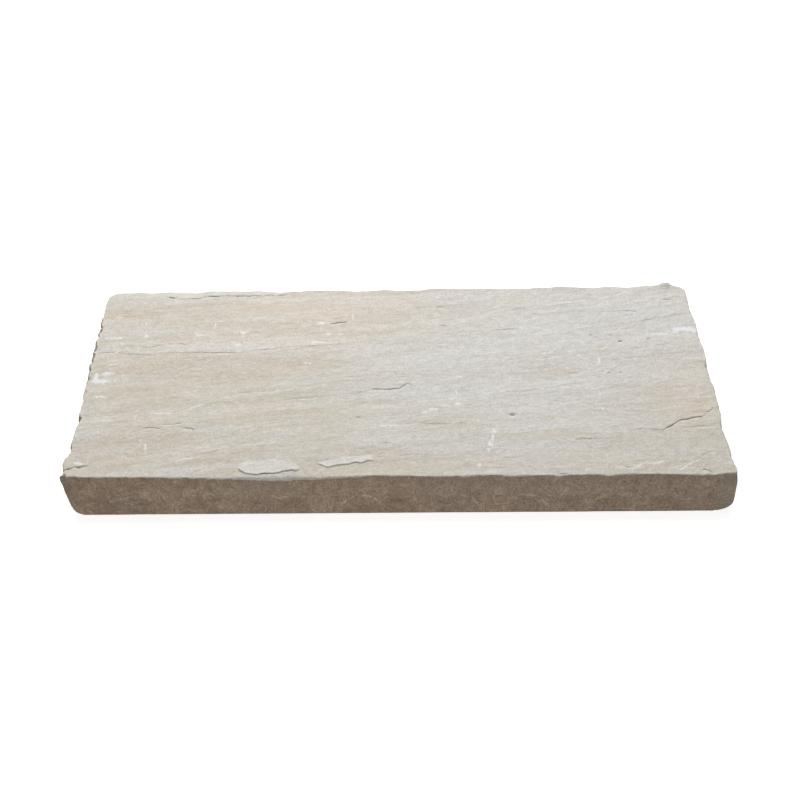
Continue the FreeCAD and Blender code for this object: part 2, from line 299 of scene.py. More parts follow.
# %% Ledges
BEHIND = 1
BEFORE = -1
LEDGES = [
    (0.65, 26, BEFORE, [(-300, -69), (-278, -68), (-245, -65), (-233, -58), (-206, -55), (-188, -44),
        (-182, -38), (-150, -29), (-103, -22), (-65, -14)]),
    (0.70, 24, BEFORE, [(-205, -127), (-189, -123), (-175, -117), (-151, -111), (-134, -104),
        (-105, -101)]),
    (0.60, 12, BEFORE, [(-218, -28.5), (-202, -24), (-186, -20)]),
    (0.55, 16, BEHIND, [(-43, -27), (-24, -22), (-13, -23), (0, -21), (9, -13), (16, -20), (21, -25)]),
    (1.40, 10, BEFORE, [(190, -134), (194, -137), (200, -139), (204, -143), (208, -142), (216, -137),
        (240, -132)]),
    (1.30, 10, BEFORE, [(244, -144.5), (252, -142), (259, -138), (264, -134), (273, -127), (278, -123),
        (288, -119)]),
    (0.50, 12, BEHIND, [(-278, 56), (-261, 52), (-246, 50), (-219, 56), (-208, 55)]),
    (0.50, 10, BEHIND, [(158, -102), (177, -101), (189, -101), (200, -101)]),
    (0.80, 8, BEFORE, [(258, -88), (271, -86.5), (282, -85), (299, -84)]),
    (0.50, 14, BEHIND, [(20, 71), (35, 70), (47, 68.5), (64, 72), (96, 75), (126, 79)]),
    (0.80, 10, BEFORE, [(150, 119), (186, 124), (216, 131), (233, 138), (258, 148)]),
    (0.60, 12, BEHIND, [(224, 81), (231, 84), (244, 91), (263, 94), (282, 100), (296, 103)]),
    (0.50, 10, BEFORE, [(82, 96), (96, 109), (117, 115), (138, 117)]),
    (0.60, 10, BEHIND, [(193, 98), (199, 100), (208, 106), (229, 108), (246, 107)]),
    (0.50, 8, BEFORE, [(199, 101), (206, 94), (215, 86)]),
    (0.45, 16, BEHIND, [(77, -33), (99, -29), (121, -26), (139, -24), (157, -17), (189, -12)]),
    (0.55, 14, BEFORE, [(22, -42.5), (31, -41), (66, -36), (106, -29), (146, -23)]),
    (0.55, 10, BEFORE, [(180, -26), (187, -24), (201, -18), (216, -13)]),
    (0.60, 10, BEFORE, [(238, -15), (243, -13), (256, -8), (269, 2), (276, 4)]),
    (0.50, 10, BEFORE, [(216, 22), (238, 25), (272, 26), (300, 24)]),
    (0.40, 12, BEFORE, [(-6, 10), (23, 14), (47, 18), (74, 22)]),
    (0.50, 8, BEFORE, [(46, -5), (55, -3.5), (69, -3), (76, -2)]),
    (0.40, 8, BEFORE, [(6, 49), (16, 52), (28, 55)]),
    (0.60, 6, BEFORE, [(136, 32), (142, 33), (149, 34), (156, 43), (158, 45)]),
    (0.60, 6, BEFORE, [(130, 20.5), (140, 22), (154, 26), (160, 27)]),
    (0.55, 8, BEFORE, [(160, 53), (166, 55), (173, 56), (178, 48), (180, 46)]),
    (0.45, 8, BEFORE, [(126, 67), (140, 69), (158, 72), (184, 77)]),
    (0.45, 14, BEHIND, [(-6, -75), (17, -74), (38, -77), (68, -73)]),
    (0.55, 6, BEFORE, [(-212, 56), (-205, 67), (-196, 71.5), (-188, 71), (-182, 65), (-172, 66),
        (-152, 63.5), (-113, 63.5)]),
    (0.55, 6, BEFORE, [(-284, 35), (-276, 41), (-269, 48), (-258, 46), (-249, 43.5), (-238, 49), (-228, 53),
        (-218, 50.5)]),
]

# %% Cracks and pits
CRACKS = [
    (0.9, 0.6, [(-237, -81), (-226, -80.5), (-218, -81)]),
    (0.8, 0.6, [(-221, -76), (-210, -74), (-199, -73)]),
    (0.9, 0.6, [(-202, -80), (-194, -81), (-186, -83)]),
    (0.45, 0.5, [(213, -88), (223, -87), (234, -85)]),
    (1.2, 0.6, [(242, -88.5), (252, -81), (262, -73), (272, -70), (284, -67.5)]),
    (0.9, 0.6, [(284, -62), (291, -59), (298, -51)]),
    (0.5, 0.6, [(267, -83.5), (276, -82), (286, -82)]),
    (1.0, 0.9, [(-70, 88.5), (-60, 91), (-49, 93.5)]),
    (0.6, 0.8, [(38, 116.5), (44, 117), (50, 118)]),
    (0.6, 0.8, [(41, 84), (46, 84), (51, 83)]),
    (0.6, 0.8, [(272, 127), (278, 127.3), (284, 127)]),
    (0.9, 0.8, [(193, -135.5), (199, -138), (207, -140.5)]),
    (0.6, 0.8, [(268, -143), (273, -143.5), (279, -147)]),
    (0.7, 0.8, [(141, -147), (145, -148), (151, -147.5)]),
    (0.45, 0.7, [(230, 108), (237, 107.5), (246, 106)]),
    (0.4, 0.6, [(138, 105), (142, 102.5), (147, 99.5)]),
    (0.7, 0.6, [(-298, 41), (-277, 41.5)]),
    (0.3, 0.5, [(-268, 36), (-243, 35.5)]),
    (0.7, 0.5, [(-204, 39.5), (-180, 39), (-158, 37.5)]),
    (0.5, 0.5, [(-150, 39), (-137, 41), (-126, 43.5)]),
    (0.5, 0.5, [(-113, 46), (-102, 47), (-78, 48)]),
    (0.3, 0.5, [(-243, 65), (-232, 66)]),
    (0.7, 0.8, [(-218, 56.5), (-213, 55), (-207, 53)]),
    (0.9, 0.7, [(-238, 139), (-234, 137.5), (-226, 136)]),
    (0.7, 0.6, [(-218, 136.3), (-202, 137.5)]),
    (0.8, 0.6, [(-197, 139), (-181, 141)]),
    (0.7, 0.6, [(-169, 140), (-143, 139.5)]),
    (0.5, 0.6, [(-140, 140), (-132, 141.3)]),
    (0.5, 0.6, [(-126, 142), (-113, 142.5)]),
    (0.8, 0.6, [(-27, -22.5), (-13, -23), (1, -21), (9, -13), (14, -18)]),
    (0.35, 0.5, [(-110, -37), (-88, -35), (-71, -33), (-44, -28), (-28, -24)]),
    (0.4, 0.6, [(80, 71), (98, 72)]),
    (0.5, 0.7, [(164, 3), (170, 2.5), (176, 2)]),
    (0.4, 0.6, [(158, -102.5), (166, -101.5), (178, -101.5)]),
    (0.35, 0.6, [(187, -73), (199, -74)]),
    (0.4, 0.6, [(-21, -105), (-7, -104)]),
    (0.4, 0.6, [(2, -72), (15, -72)]),
    (0.6, 0.6, [(-297, -139.5), (-291, -138)]),
    (0.9, 0.6, [(-290, -135.6), (-285, -136.3), (-281.5, -134.6), (-275, -132.5)]),
]
PITS = [
    (106, -64, 2.8, 1.4), (193, 66, 1.6, 0.7), (213, 65, 1.4, 0.6), (221, 54, 2.3, 1.1), (198, 5, 1.5, 0.8),
    (204, 3, 1.5, 0.8), (250, 58, 1.8, 0.7), (236, 42, 1.8, 0.5), (104, -27, 1.3, 0.5),
    (-12, -104, 1.8, 0.5), (215, 3, 1.5, 0.6), (191, 16, 1.4, 0.5), (-37, -66, 1.8, 0.7),
    (143, -70, 1.4, 0.5),
]

# %% White calcite and the nub
CALCITE = [
    (-291.5, 2, 2.2, 6, 1.25), (-281, 6, 6.5, 3.5, 1.3), (-284, -5.5, 8.5, 3.8, 1.35),
    (-291, -5, 3.5, 3, 1.2), (-271, -3, 2, 3.5, 0.85), (258, 67, 9, 2.2, 1.05), (268, 65.5, 4, 1.6, 0.9),
    (279, 75, 6, 3.5, 1.15), (289, 75, 7, 4.5, 1.3), (297, 73, 4, 4, 1.3), (278, 69, 3, 2, 0.95),
    (24, -60, 5, 3.2, 1.0), (33, -55, 6, 3.2, 1.05), (44, -50, 7, 3, 1.0), (56, -47, 6, 2.2, 0.9),
    (94, -57, 5, 4, 0.7), (88, -87, 2.2, 5, 0.95), (85.5, -96, 2.2, 6, 1.0), (83, -106, 3, 5, 1.0),
    (81, -114, 2, 4, 0.8), (-282, 104, 5, 1.5, 0.85), (-254, 91, 1.6, 6, 0.95), (-282, 67.5, 12, 2.2, 1.05),
    (-251, 70, 5, 2.5, 1.1), (-184, 88, 1.5, 8, 1.0), (-155, 76, 4.5, 4.5, 1.1), (-198, 70, 9, 3, 0.9),
    (-158, 52, 4, 4, 0.95), (-78, 91, 7, 2.2, 1.0), (-69, 72, 4, 2.5, 1.05), (-56, 70.5, 5, 2, 0.9),
    (-81, 54, 5, 4, 1.1), (-70, 54, 8, 2, 0.85), (-88, 20.5, 7, 2.5, 0.95), (-278, 21, 7, 1.6, 0.9),
    (-284, -31, 8, 2, 0.9), (148, 33, 9, 1.2, 0.75), (145, 23, 10, 1.2, 0.75), (140, 69, 14, 1.4, 0.7),
    (61, -3, 8, 2, 0.8), (55, -26, 1.4, 5, 0.8), (216, 123, 1.5, 7, 0.95), (196, 22, 1.6, 13, 0.8),
    (41.5, 135, 3.5, 3, 0.95), (123, 80, 2, 3, 0.8), (141, 97, 6, 1.5, 0.7), (72, -135, 4, 4, 0.8),
    (-236, -98, 2, 4, 0.95), (-230.5, -107, 2, 6, 1.05), (-10, -78.5, 12, 2, 0.85),
    (-45.5, 101.5, 1.6, 7, 0.95), (-288.5, -131, 2.5, 3.5, 1.1), (-283.5, -132, 3.5, 1.6, 1.2),
    (270, -146, 4, 2.5, 0.9),
]
NUB = (279, 150, 5.2, 2.9)

# %% Ragged lines and plates


def along_line(x, points, ragged, seed, tip=14):
    """Height of a line over each x, with a ragged edge, and how much of it is left towards its two tips."""
    xs, ys = zip(*points)
    near = (x > xs[0]) & (x < xs[-1])
    wander = np.zeros_like(x)
    for span, share, slice_of in ((18, 1.0, 3), (7, 1.0, 0), (2.2, 0.5, 5)):
        wander[near] += share * line_noise(x[near], span, seed + slice_of)
    tip = min(tip, 0.3 * (xs[-1] - xs[0]))
    kept = ease((x - xs[0]) / tip) * ease((xs[-1] - x) / tip)
    return np.interp(x, xs, ys) + ragged * wander, kept


def on_plate(x, y, name):
    """How far in from the front and back lines of a plate, and how much of it is left."""
    fore, kept = along_line(x, PLATES[name][3], 0.8, len(name), 3 if name.startswith("front") else 12)
    rear = along_line(x, PLATES[name][4], 0.8, len(name) + 0.5)[0]
    return y - fore, rear - y, kept


# %% [markdown]
# ## Closer lines where the marks are
# The plain sheet is too coarse for a crack. Edges near a mark are subdivided, and once more right beside it.

# %% Refine the sheet


def nearest_mark(x, y):
    """Distance to the nearest mark, measured across the stone."""
    lines = [PLATES[name][3] for name in PLATES] + [PLATES[name][4] for name in PLATES]
    lines += [ledge[3] for ledge in LEDGES] + [crack[2] for crack in CRACKS]
    distance = np.full_like(x, 99)
    for px, py, wide, deep in [(px, py, r, r) for px, py, r, depth in PITS] + [spot[:4] for spot in CALCITE]:
        distance = np.minimum(distance, np.hypot((x - px) / wide, (y - py) / deep) * min(wide, deep) - 1)
    for points in lines:
        xs, ys = zip(*points)
        gap = np.abs(y - np.interp(x, xs, ys))
        distance = np.minimum(distance, np.where((x > xs[0] - 2) & (x < xs[-1] + 2), gap, 99))
    return distance


for near in (3.0, 1.2):
    faces = list(bm.faces)
    centres = np.array([f.calc_center_median() for f in faces])
    close = nearest_mark(centres[:, 0], centres[:, 1]) < near
    edges = dict.fromkeys(e for f, chosen in zip(faces, close) if chosen for e in f.edges)
    bmesh.ops.subdivide_edges(bm, edges=list(edges), cuts=1, use_grid_fill=True)
    print("refined to", len(bm.verts), "vertices")

# %% [markdown]
# ## The height of the riven face
# Two things make it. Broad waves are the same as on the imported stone. Terraces are thin layers that broke off
# at different depths, made by rounding a smooth noise to steps. Then come the plates, ledges, cracks, pits
# and the nub. Relief finer than the sheet's own lines is left to the bump of the finish.

# %% Heights
THICKNESS = 43.5
WAVE_RISE = 1.3
WAVE_SPAN = 118
WAVE_DRIFT = math.radians(4)
TWIST = 1.2
WAVES = [(0.45, 1.0, 0.3, 0.0), (0.20, 2.1, -0.6, 0.16), (0.35, 0.3, 1.1, 0.25)]
CRISP = 0.7


def broad_height(x, y):
    """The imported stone's own waves: each has a share, turns across and along, and a phase."""
    crests = (y - x * math.tan(WAVE_DRIFT)) / WAVE_SPAN
    rise = np.zeros_like(x)
    for share, across, along, phase in WAVES:
        rise += share * np.sin(2 * math.pi * (across * crests + along * x / LENGTH + phase))
    return THICKNESS + WAVE_RISE * rise + TWIST * x / LENGTH * 2 * ease((y + 60) / 210)


def terraces(level, riser):
    """Whole steps joined by short risers."""
    part = level - np.floor(level)
    return np.floor(level) + ease((part - 0.5) / riser + 0.5)


def split_relief(x, y):
    """Terraces left by the split, thick ones and thin ones."""
    wander = 9 * bedding_noise(x, y, 90, 40, 21.0, 2)
    sheets = terraces(2.0 * bedding_noise(x, y + wander, 170, 34, 2.0, 3), 0.6)
    slivers = terraces(2.0 * bedding_noise(x, y + wander, 70, 14, 12.0, 2), 0.9)
    return 0.35 * sheets + 0.18 * slivers


def mark_relief(x, y):
    """Plates, ledges, cracks, pits and the nub."""
    height = np.zeros_like(x)
    for name, (rise, taper, painted_shade, *lines) in PLATES.items():
        fore, rear, kept = on_plate(x, y, name)
        depth = np.clip(fore / np.maximum(fore + rear, 0.1), 0, 1)
        inner = ease(fore / CRISP + 0.5) * ease(rear / (2 * CRISP) + 0.5)
        height += rise * kept * (1 - taper * depth) * inner
    for rise, run, side, points in LEDGES:
        line, kept = along_line(x, points, 1.2, rise)
        behind = side * (y - line)
        sinking = np.exp(-np.clip(behind, 0, None) / run)
        height += rise * kept * ease(behind / (1.6 * CRISP) + 0.5) * sinking
    for depth, width, points in CRACKS:
        line, kept = along_line(x, points, 0.8, depth, 4)
        height -= depth * kept * bell(y - line, width)
    for px, py, radius, depth in PITS:
        height -= depth * np.exp(-(((x - px) / radius) ** 2 + ((y - py) / (0.8 * radius)) ** 2) ** 2)
    px, py, radius, rise = NUB
    height += rise * np.exp(-(((x - px) / radius) ** 2 + ((y - py) / radius) ** 2) ** 2)
    return height


# %% [markdown]
# ## The worn arris
# The arris is the edge where the top meets a side. Years of handling round it, more in some places than in
# others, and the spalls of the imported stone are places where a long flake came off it. The drop of a quarter
# circle is taken off the height, and the rim of the sheet ends up at the lower end of that curve.

# %% Arris
SPALLS = [(-1, -105, 2.6, 45), (-1, 60, 0.8, 18), (-1, 204, 0.8, 16), (1, -114, 0.9, 18), (1, 108, 1.1, 20)]
FRONT_LIFT = [
    (-300, 2.2), (-291, 2), (-273, 1.1), (-238, 1.3), (-221, 1), (-203, -0.1), (-180, 0.3), (-167, -0.6),
    (-150, 0.3), (-105, -0.2), (-92, 0.8), (-70, -0.3), (-60, 1.2), (-43, 1.5), (-26, 1.8), (-17, 2.2),
    (-4, 1.4), (10, 0.9), (20, 0.2), (45, 0), (62, 0.4), (72, 1.2), (89, 1.4), (97, -0.3), (110, 0.5),
    (137, 0), (142, -1.6), (148, 0.4), (178, 0.4), (186, -1.6), (192, 0.4), (204, 0), (220, 0.6),
    (248, 0.2), (257, -1), (264, 0), (269, -1.3), (274, 0.2), (279, -1.2), (284, 0.3), (293, 1.6),
    (301, 1.6),
]
BACK_LIFT = [
    (-289, -1.8), (-268, -1.1), (-257, -2.3), (-236, -1.5), (-226, -2.7), (-205, -3.3), (-195, -1),
    (-163, -1.1), (-142, -1.4), (-132, -2.6), (-122, -3), (-111, -1.5), (-101, -1.6), (-90, 0), (-59, -0.5),
    (-43, -1.6), (-28, -0.4), (-12, 0.3), (4, -0.5), (25, -0.6), (35, 1.5), (45, 1.4), (61, 0.7), (77, 0.8),
    (98, 1.5), (118, 1.2), (134, 0.4), (150, 1.5), (171, 2.5), (181, 2.2), (191, 1.4), (202, -0.1),
    (218, 0.9), (238, -0.1), (254, 1), (265, 1.6), (275, 2.2), (285, 2.2), (296, -0.7),
]


def edge_lift(x, y):
    """The long edges rise and fall a little, and the top near them follows."""
    lift = np.zeros_like(x)
    for face, points in ((-1, FRONT_LIFT), (1, BACK_LIFT)):
        inside = in_from_side(face, x, y)
        lift += np.interp(x, *zip(*points)) * np.exp(-inside / 12)
    return lift


def side_wear(face, x):
    """Radius of the arris along a long side."""
    wear = 0.8 + 0.7 * line_noise(x, 30, 51 + face) + 0.9 * line_noise(x, 7, 61 + face)
    for spalled, place, extra, span in SPALLS:
        if spalled == face:
            wear += extra * bell(x - place, span)
    return np.clip(wear, 0.4, None)


def end_wear(side, y):
    """Radius of the arris along an end."""
    return np.clip(1.8 + 1.6 * line_noise(y, 16, 71 + side) + 0.9 * line_noise(y, 5, 81 + side), 0.6, None)


def quarter_drop(inside, radius):
    """How far a rounded edge has dropped, so far in from the edge."""
    curled = np.clip(1 - inside / radius, 0, 1)
    return radius * (1 - np.sqrt(1 - curled ** 2))


def arris_drop(x, y, on_rim):
    drop = np.zeros_like(x)
    for face in (-1, 1):
        inside = in_from_side(face, x, y)
        drop = np.maximum(drop, quarter_drop(np.where(on_rim & (inside < 1), 0, inside), side_wear(face, x)))
    for side in (-1, 1):
        inside = in_from_end(side, x, y)
        drop = np.maximum(drop, quarter_drop(np.where(on_rim & (inside < 1), 0, inside), end_wear(side, y)))
    return drop


def surface_height(x, y, on_rim):
    height = broad_height(x, y) + split_relief(x, y) + mark_relief(x, y)
    return height + edge_lift(x, y) - arris_drop(x, y, on_rim)


top_verts = list(bm.verts)
x, y, flat = places(top_verts).T
rim_verts = np.array([v.is_boundary for v in top_verts])
z = surface_height(x, y, rim_verts)
place_at(top_verts, x, y, z)
print("riven face from", round(z.min(), 2), "to", round(z.max(), 2), "mm")

# %% [markdown]
# ## Masks for the colours
# The colour of the stone follows its shape: shade is painted as dark lines into cracks and pits and under the
# edges of plates and ledges, a lifted plate is paler, the edges of ledges and the lips of cracks and pits are
# paler too, partly worn and partly painted highlight, white calcite shows in a few places, and the rock itself
# is warmer or cooler in patches. Each mask is worked out here and kept as an attribute of the vertices, which
# the materials read later.

# %% Patches of colour
PEACH = [
    (-85, 108, 110, 44, 0.9), (272, -10, 30, 60, 0.8), (-200, 60, 70, 9, 0.5), (250, 133, 24, 16, 0.8),
    (222, -138, 26, 8, 0.7),
]
TAN = [
    (-150, 22, 95, 22, 0.8), (-262, 5, 50, 45, 0.5), (-240, -75, 70, 30, 0.5), (40, -78, 50, 18, 0.7),
    (150, 5, 30, 9, 0.7), (0, -128, 320, 16, 0.5), (238, -30, 22, 12, 0.7), (100, 64, 12, 4, 0.7),
    (128, 40, 14, 6, 0.5), (275, -75, 40, 30, 0.5),
]
COOL = [(130, 20, 165, 120, 0.9), (240, 95, 80, 55, 0.9), (60, -110, 120, 30, 0.3), (-20, -30, 60, 30, 0.4)]
RUST = [
    (-290, 103.5, 10, 2.4, 0.7), (-275, 105, 10, 2.6, 0.8), (-256, 103.5, 12, 2.4, 0.6),
    (-280, 110, 20, 5, 0.35), (297, 16, 4, 6, 0.5), (204, 4, 16, 2, 0.4), (221, 56, 4, 2, 0.6),
    (284, -52, 12, 10, 0.4),
]
BARE = [
    (-297.5, -21, 2.5, 4, 0.55), (-298.5, -37, 2.5, 4, 0.5), (-298, -54, 3, 4, 0.3),
    (299.5, 13, 2.5, 5, 0.55),
]


def patches(x, y, spots):
    """Soft round spots, each with a middle, two radii and a strength."""
    total = np.zeros_like(x)
    for px, py, wide, deep, strength in spots:
        total += strength * bell(x - px, wide) * bell(y - py, deep)
    return np.clip(total, 0, 1.3)


# %% Painted shade


def crevice_mask(x, y):
    """Painted shade in cracks and pits and under the front edges of plates and ledges, where it comes and goes.
    """
    mask = np.zeros_like(x)
    broken = ease(2 * line_noise(x, 14, 101.0) + 0.5) * ease(2 * line_noise(y, 9, 103.0) + 0.8)
    # The third number of a plate sets how strong the painted shade is along its front edge.
    for name, (rise, taper, painted_shade, *lines) in PLATES.items():
        fore, rear, kept = on_plate(x, y, name)
        edge = bell(fore + 0.2, 0.5) * ease(rear)
        mask = np.maximum(mask, painted_shade * kept * edge * (0.6 + 0.4 * broken))
    for rise, run, side, points in LEDGES:
        line, kept = along_line(x, points, 1.2, rise)
        strength, place = (0.6, -0.3) if side == BEHIND else (0.3, 1.8)
        mask = np.maximum(mask, strength * rise * kept * broken * bell(y - line - place, 0.8))
    for depth, width, points in CRACKS:
        line, kept = along_line(x, points, 0.8, depth, 4)
        dark = min(1, depth) * kept * (0.55 + 0.45 * broken)
        mask = np.maximum(mask, dark * bell(y - line, width))
    for px, py, radius, depth in PITS:
        spot = bell(x - px, radius) * bell(y - py - 0.5 * radius, 0.45 * radius)
        mask = np.maximum(mask, min(0.7, 0.6 * depth) * spot)
    return mask


# %% Pale edges
PALE_PLATES = {"front_flake": 1.0, "front_sliver": 1.0, "back_ledge": 0.6, "left_strip": 0.5}


def pale_mask(x, y):
    """Plates up to 1, and up to 2 the bright edges of ledges and the lower lips of cracks and pits, which are
    partly worn paler and partly painted highlight where they face the lamp.
    """
    mask = np.zeros_like(x)
    for name, share in PALE_PLATES.items():
        fore, rear, kept = on_plate(x, y, name)
        mask = np.maximum(mask, share * kept * ease(fore / 1.5) * ease(rear / 1.5 + 0.5))
    # A paler band along the front arris at the long spall: painted light, lifting the shade where the arris
    # turns away from the lamp.
    inside = in_from_side(-1, x, y)
    mask = np.maximum(mask, 0.5 * bell(x + 112, 48) * bell(inside, 2.5))
    for rise, run, side, points in LEDGES:
        line, kept = along_line(x, points, 1.2, rise, 7)
        bright, place, wide = (2.4, -0.4, 1.5) if side == BEFORE else (1.4, 1.6, 1.1)
        wide += 0.9 * ease(rise - 0.5)
        fades = 0.3 + 0.7 * ease(1.5 * line_noise(x, 16, 105.0 + rise) + 0.3 + 0.8 * ease(rise - 0.5))
        edge = bell(y - line - place, wide)
        mask = np.maximum(mask, min(1.6, bright * rise) * fades * kept * edge)
    for depth, width, points in CRACKS:
        line, kept = along_line(x, points, 0.8, depth, 4)
        mask = np.maximum(mask, min(1.7, 1.9 * depth) * kept * bell(y - line + 2.2 * width, 0.9))
    for px, py, radius, depth in PITS:
        lip = bell(x - px, radius) * bell(y - py + 1.1 * radius, 0.6 * radius)
        mask = np.maximum(mask, min(1.7, 1.8 * depth) * lip)
    return mask


# %% Skin
SPALL_MIDDLE = -110
SPALL_HALF = 45
FRAYED_FROM = -20
FRAYED_TO = 112
BARE_CORNER = (-294.5, -145)


def front_spall(x):
    """How far a place is into the long spall of the front arris, where the skin laps over the edge."""
    return bell(x - SPALL_MIDDLE, SPALL_HALF)


def skin_mask(x, y):
    """The weathered skin thins out over the long arrises and frays at the ends. It is off one corner."""
    kept = np.ones_like(x)
    for face in (-1, 1):
        inside = in_from_side(face, x, y)
        lapped = front_spall(x) if face < 0 else 0
        kept = np.minimum(kept, 0.5 + 0.2 * lapped + 0.5 * ease(2 * inside / side_wear(face, x)))
    for side in (-1, 1):
        fringe = 1.6 * (side < 0) * ease((y - FRAYED_FROM) / 15) * ease((FRAYED_TO - y) / 8) - 0.7
        inside = in_from_end(side, x, y)
        ragged = 0.8 * line_noise(y, 6, 111 + side)
        kept = np.minimum(kept, ease((inside / end_wear(side, y) - fringe - ragged) / 0.35))
    kept *= 1 - np.clip(patches(x, y, BARE), 0, 1)
    corner_x, corner_y = BARE_CORNER
    return kept * (1 - ease((corner_x - x) / 1.5) * ease((corner_y - y) / 1.5))


# %% Keep the masks
SPOTS = {"calcite": CALCITE, "peach": PEACH, "tan": TAN, "cool": COOL, "rust": RUST}


def keep_mask(verts, name, values):
    for v, value in zip(verts, values):
        v[layers[name]] = value


keep_mask(top_verts, "crevice", crevice_mask(x, y))
keep_mask(top_verts, "pale", pale_mask(x, y))
keep_mask(top_verts, "skin", skin_mask(x, y))
for name, spots in SPOTS.items():
    keep_mask(top_verts, name, patches(x, y, spots))


def keep_bedding(verts):
    """Keeps the place along and across the bedding, in metres, for the materials."""
    layer = bm.verts.layers.float_vector["bedding"]
    where = places(verts)
    along, across = bedding(where[:, 0], where[:, 1])
    for v, a, b, c in zip(verts, along, across, where[:, 2]):
        v[layer] = (a * MM, b * MM, c * MM)


keep_bedding(top_verts)

# %% [markdown]
# ## The sides
# The rim of the sheet is extruded downwards row by row. Each vertex of the rim keeps a number, and the
# vertices extruded below it inherit that number, so it is always known which post of the side a vertex
# belongs to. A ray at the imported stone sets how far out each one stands.

# %% The rim and its posts
TIERS = 19
CORE_X = LENGTH / 2 - 24
CORE_Y = WIDTH / 2 - 24
GROOVE_NEAR = 114.4
GROOVE_FAR = 125.6
GROOVE_TOP = 6.4
LOWEST_RAY = 0.05
LOWEST_SAWN_RAY = 1.2
HIGHEST_RAY = 38.5

rim_edges = [e for e in bm.edges if e.is_boundary]
posts = [v for v in top_verts if v.is_boundary]
for number, v in enumerate(posts):
    v[post_layer] = number
rim = places(posts)
core = np.stack([np.clip(rim[:, 0], -CORE_X, CORE_X), np.clip(rim[:, 1], -CORE_Y, CORE_Y)], axis=1)
outwards = rim[:, :2] - core
outwards /= np.linalg.norm(outwards, axis=1)[:, None]
on_right = rim[:, 0] > 0
on_end = ease((np.abs(outwards[:, 0]) - 0.35) / 0.45)
rough_end = ease((np.abs(outwards[:, 0]) - 0.8) / 0.19)
depths = (spaced(TIERS, 0.5, 3.5, 0.06) + 0.5)[1:]
print(len(posts), "posts,", TIERS, "tiers")


def clear_of_grooves(place, height):
    """Moves a ray out of the drip grooves, which run through the stone near the bed."""
    in_groove = GROOVE_NEAR < abs(place[1]) < GROOVE_FAR and height < GROOVE_TOP
    if not in_groove:
        return place
    middle = (GROOVE_NEAR + GROOVE_FAR) / 2
    edge = GROOVE_NEAR if abs(place[1]) < middle else GROOVE_FAR
    return np.array([place[0], math.copysign(edge, place[1])])


def packed_side(height_of_post):
    """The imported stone's side at every post, at a height for each."""
    found = []
    for place, out, pitched, height in zip(rim[:, :2], outwards, on_end, height_of_post):
        ray_place = clear_of_grooves(place, height)
        lowest = LOWEST_SAWN_RAY if pitched == 0 else LOWEST_RAY
        hit = packed_surface(ray_place, out, min(max(height, lowest), HIGHEST_RAY))
        found.append(hit + place - ray_place)
    return np.array(found)


# %% [markdown]
# ## Sawn and pitched
# A saw leaves a long side nearly flat. A pitched end is a patchwork of small scoops with ridges between
# them, where flakes came off, and the edges of the layers show as fine level lines. Voronoi noise gives the
# scoops: the distance to the nearest point is lowest in the middle of a cell and meets in ridges. Close under
# the arris the scoops are held back, so that the edge of the top stays clean. The right end is filled out at
# its foot. The weathered skin laps a little way over the edge, on the right end and on part of the left one.

# %% Relief of the sides
BELLY = 2.2
FOOT = 1.8


def sawn_relief(along, height):
    relief = []
    for a, h in zip(along, height):
        wave = noise.fractal((a / 60, h / 40, 91), 1.0, 2.0, 3)
        ripple = noise.fractal((a / 9, h / 7, 92), 1.0, 2.0, 3)
        relief.append(0.22 * wave + 0.10 * ripple)
    return np.array(relief)


def pitched_relief(across, height, side):
    relief = []
    for a, h, s in zip(across, height, side):
        wobble = noise.noise((a / 14, h / 14, s + 5))
        near = noise.voronoi((a / 26 + 0.3 * wobble, h / 19, 3.3 * s))[0]
        small = noise.voronoi((a / 9, h / 7 + 0.3 * wobble, 5.7 * s))[0]
        lines = noise.fractal((a / 45, h / 1.7, s), 1.0, 2.0, 2)
        rough = noise.fractal((a / 12, h / 9, s + 2), 1.0, 2.0, 4)
        relief.append(6 * (near[0] ** 2 - 0.2) + 2 * (small[0] ** 2 - 0.2) + 0.5 * lines + 1.1 * rough)
    return np.array(relief)


def side_relief(depth, height):
    """How far each post stands out at a depth, which runs from 0 at the rim to 1 at the bed."""
    sawn = sawn_relief(rim[:, 0], height)
    pitched = pitched_relief(rim[:, 1], height, np.sign(outwards[:, 0]))
    grown = ease((height - 1) / 8)
    relief = ease(depth / 0.15) * ((1 - rough_end) * sawn + rough_end * grown * pitched)
    belly = np.where(on_right, ease(depth / 0.3), ease((depth - 0.2) / 0.3))
    relief += BELLY * on_end * belly * ease((1 - depth) / 0.3)
    relief = np.minimum(relief, 0.5 + np.where(on_right, 6, 9) * depth)
    return relief + FOOT * on_end * on_right * ease((depth - 0.7) / 0.2) * ease((1 - depth) / 0.06)


def skin_lap(drop):
    """How much skin is left so far below the rim."""
    left_part = ease((FRAYED_FROM - rim[:, 1]) / 15) * ease((rim[:, 1] + 138) / 6)
    lapped_end = np.where(on_right, 1, left_part)
    lap = (1 - on_end) * np.clip(0.5 - drop / 2.5, 0, 1)
    return lap + on_end * lapped_end * np.clip(0.65 - drop / 4.5, 0, 1)


